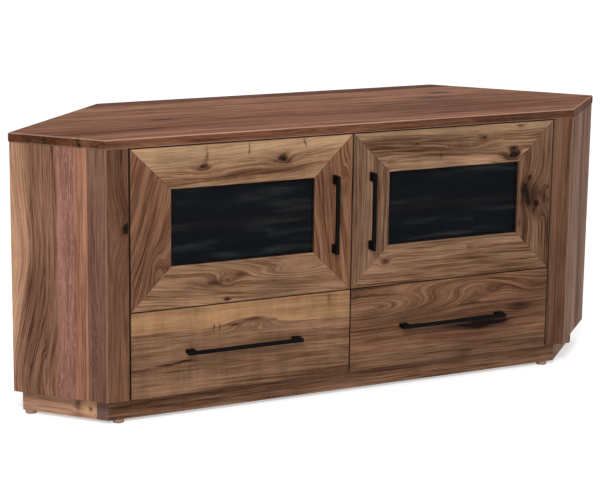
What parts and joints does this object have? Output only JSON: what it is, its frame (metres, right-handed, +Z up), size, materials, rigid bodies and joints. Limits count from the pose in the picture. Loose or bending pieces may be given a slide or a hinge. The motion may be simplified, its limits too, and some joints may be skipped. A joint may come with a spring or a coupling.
{
  "type": "corner tv cabinet",
  "caption": "Six-sided walnut corner cabinet for a television: glazed doors on concealed hinges above drawers on telescopic runners, on a recessed plinth.",
  "frame": {"origin": "middle of the bounding box on the floor, under the glides", "axes": "+X to the right seen from the front, +Y to the back, +Z up; the doors and drawers face -Y"},
  "size_m": [1.5, 0.4882, 0.64],
  "materials": {
    "walnut_top": "solid walnut boards, reddish brown, oiled satin",
    "walnut_side": "solid walnut boards with tan sapwood and dark streaks, oiled satin",
    "walnut_front": "figured walnut with knots, oiled satin",
    "walnut_plinth": "walnut boards, oiled satin, on small brown plastic glides",
    "walnut_inner": "walnut veneered board",
    "drawer_wood": "pale lacquered hardwood",
    "back_board": "thin veneered plywood",
    "smoked_glass": "dark smoked sheet glass",
    "black_metal": "matt black",
    "steel": "nickel plated steel"
  },
  "bodies": {
    "carcass": {"top_panel": "walnut_top", "bottom_panel": "walnut_inner", "side_panel_left": "walnut_side", "side_panel_right": "walnut_side", "front_post_left": "walnut_side", "front_post_right": "walnut_side", "centre_divider": "walnut_inner", "partition_left": "walnut_inner", "partition_right": "walnut_inner", "back_panel_left": "back_board", "back_panel_centre": "back_board", "back_panel_right": "back_board", "mid_shelf_left": "walnut_inner", "mid_shelf_right": "walnut_inner", "shelf_left": "walnut_inner", "shelf_right": "walnut_inner", "plinth_front": "walnut_plinth", "plinth_back": "walnut_plinth", "plinth_left": "walnut_plinth", "plinth_right": "walnut_plinth", "hinge_arm_left_top": "steel", "hinge_arm_left_bottom": "steel", "hinge_arm_right_top": "steel", "hinge_arm_right_bottom": "steel", "runner_left_left": "steel", "runner_left_right": "steel", "runner_right_left": "steel", "runner_right_right": "steel"},
    "door_left": {"door_left_hinge_stile": "walnut_front", "door_left_meeting_stile": "walnut_front", "door_left_top_rail": "walnut_front", "door_left_bottom_rail": "walnut_front", "door_left_glass": "smoked_glass", "door_left_handle": "black_metal", "door_left_hinge_cup_top": "steel", "door_left_hinge_cup_bottom": "steel"},
    "door_right": {"door_right_hinge_stile": "walnut_front", "door_right_meeting_stile": "walnut_front", "door_right_top_rail": "walnut_front", "door_right_bottom_rail": "walnut_front", "door_right_glass": "smoked_glass", "door_right_handle": "black_metal", "door_right_hinge_cup_top": "steel", "door_right_hinge_cup_bottom": "steel"},
    "drawer_left": {"drawer_left_front": "walnut_front", "drawer_left_side_left": "drawer_wood", "drawer_left_side_right": "drawer_wood", "drawer_left_back": "drawer_wood", "drawer_left_bottom": "back_board", "drawer_left_handle": "black_metal", "drawer_left_slide_left": "steel", "drawer_left_slide_right": "steel"},
    "drawer_right": {"drawer_right_front": "walnut_front", "drawer_right_side_left": "drawer_wood", "drawer_right_side_right": "drawer_wood", "drawer_right_back": "drawer_wood", "drawer_right_bottom": "back_board", "drawer_right_handle": "black_metal", "drawer_right_slide_left": "steel", "drawer_right_slide_right": "steel"}
  },
  "joints": [
    {"name": "door_left_hinge", "type": "hinge", "parent": "carcass", "child": "door_left", "pos_m": [-0.5063, -0.2069, 0.43625], "axis": [0, 0, -1], "range_deg": [0, 95]},
    {"name": "door_right_hinge", "type": "hinge", "parent": "carcass", "child": "door_right", "pos_m": [0.5063, -0.2069, 0.43625], "axis": [0, 0, 1], "range_deg": [0, 95]},
    {"name": "drawer_left_slide", "type": "slide", "parent": "carcass", "child": "drawer_left", "axis": [0, -1, 0], "range_m": [0, 0.23]},
    {"name": "drawer_right_slide", "type": "slide", "parent": "carcass", "child": "drawer_right", "axis": [0, -1, 0], "range_m": [0, 0.23]}
  ]
}
